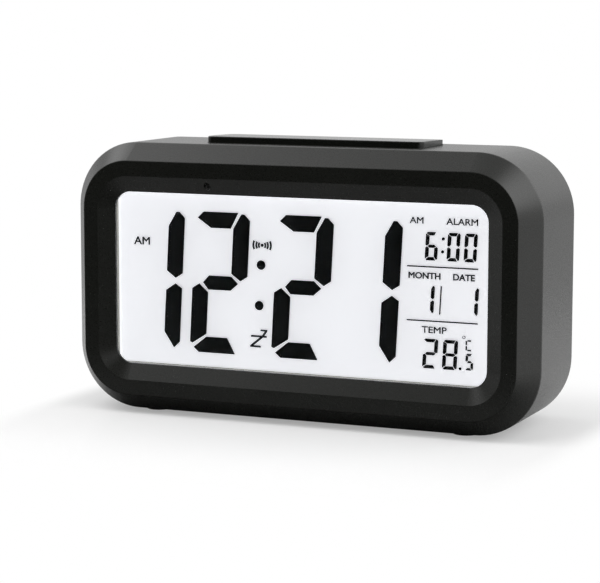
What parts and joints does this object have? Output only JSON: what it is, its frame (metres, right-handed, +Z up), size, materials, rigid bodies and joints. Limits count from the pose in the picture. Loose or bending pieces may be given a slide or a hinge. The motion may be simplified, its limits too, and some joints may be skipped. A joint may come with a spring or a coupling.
{
  "type": "alarm clock",
  "caption": "Bedside alarm clock with a rounded sleeve case, bevelled front frame, large segment display, snooze bar on top and a tapered rear cover with a sliding battery door.",
  "frame": {"origin": "on the resting surface, under the middle of the clock's box", "axes": "+Z up, the display faces -Y, +X to the right seen from the front"},
  "size_m": [0.135, 0.045, 0.0767],
  "materials": {
    "case_plastic": "black ABS, fine moulded grain, satin",
    "bar_plastic": "black ABS, satin",
    "button_plastic": "dark grey ABS, satin",
    "rubber": "black rubber",
    "clear_plastic": "clear acrylic, polished",
    "smoked_plastic": "smoked acrylic, polished",
    "glass": "clear flat glass",
    "polariser_film": "clear polarising film",
    "display_ground": "pearl white film",
    "display_ink": "dark liquid-crystal strokes",
    "edge_resin": "cured resin",
    "white_plastic": "white ABS",
    "lamp": "white lamp bodies",
    "board": "green circuit board",
    "black_plastic": "black moulded plastic",
    "steel": "zinc and nickel plated steel",
    "capacitor_sleeve": "dark blue sleeve",
    "resin_bead": "resin-dipped bead",
    "brass": "brass",
    "elastomer": "layered silicone",
    "cell_jacket": "printed film jacket, plain",
    "lead_sleeve": "PVC wire sleeve"
  },
  "bodies": {
    "case": {"front_shell": "case_plastic", "rear_cover": "case_plastic", "case_screws": "steel", "rubber_feet": "rubber", "lens_tape": "display_ground", "display_lens": "clear_plastic", "front_polariser": "polariser_film", "front_glass": "glass", "edge_seal": "edge_resin", "lcd_segments": "display_ink", "rear_glass": "glass", "rear_polariser": "display_ground", "diffuser_film": "display_ground", "light_guide": "clear_plastic", "reflector_film": "display_ground", "backlight_board": "board", "backlight_lamps": "lamp", "display_holder": "white_plastic", "elastomer_connector": "elastomer", "main_board": "board", "clock_chip": "black_plastic", "quartz_crystal": "steel", "capacitors": "capacitor_sleeve", "chip_resistors": "black_plastic", "thermistor": "resin_bead", "light_pipe": "smoked_plastic", "light_sensor": "black_plastic", "board_screws": "steel", "snooze_springs": "steel", "snooze_switch": "black_plastic", "snooze_board": "board", "button_board": "board", "button_switches": "black_plastic", "sensor_switch": "black_plastic", "sounder_case": "black_plastic", "piezo_disc": "brass", "battery_1": "cell_jacket", "battery_2": "cell_jacket", "battery_3": "cell_jacket", "contact_plates": "steel", "contact_springs": "steel", "battery_leads": "lead_sleeve", "sounder_leads": "lead_sleeve", "board_leads": "lead_sleeve"},
    "snooze_key": {"snooze_bar": "bar_plastic", "snooze_plunger": "white_plastic"},
    "set_key": {"set_button": "button_plastic", "set_plunger": "white_plastic"},
    "alarm_key": {"alarm_button": "button_plastic", "alarm_plunger": "white_plastic"},
    "up_key": {"up_button": "button_plastic", "up_plunger": "white_plastic"},
    "down_key": {"down_button": "button_plastic", "down_plunger": "white_plastic"},
    "sensor_key": {"sensor_slider": "button_plastic"},
    "door": {"battery_door": "case_plastic"}
  },
  "joints": [
    {"name": "snooze_press", "type": "slide", "parent": "case", "child": "snooze_key", "axis": [0, 0, -1], "range_m": [0, 0.0008], "stiffness_N_per_m": 1040, "springref_m": -0.001, "deforming": ["snooze_springs"]},
    {"name": "set_press", "type": "slide", "parent": "case", "child": "set_key", "axis": [0, -1, 0], "range_m": [0, 0.0004], "stiffness_N_per_m": 2500, "springref_m": -0.0002},
    {"name": "alarm_press", "type": "slide", "parent": "case", "child": "alarm_key", "axis": [0, -1, 0], "range_m": [0, 0.0004], "stiffness_N_per_m": 2500, "springref_m": -0.0002},
    {"name": "up_press", "type": "slide", "parent": "case", "child": "up_key", "axis": [0, -1, 0], "range_m": [0, 0.0004], "stiffness_N_per_m": 2500, "springref_m": -0.0002},
    {"name": "down_press", "type": "slide", "parent": "case", "child": "down_key", "axis": [0, -1, 0], "range_m": [0, 0.0004], "stiffness_N_per_m": 2500, "springref_m": -0.0002},
    {"name": "sensor_slide", "type": "slide", "parent": "case", "child": "sensor_key", "axis": [1, 0, 0], "range_m": [0, 0.002]},
    {"name": "door_slide", "type": "slide", "parent": "case", "child": "door", "axis": [1, 0, 0], "range_m": [0, 0.046]}
  ]
}
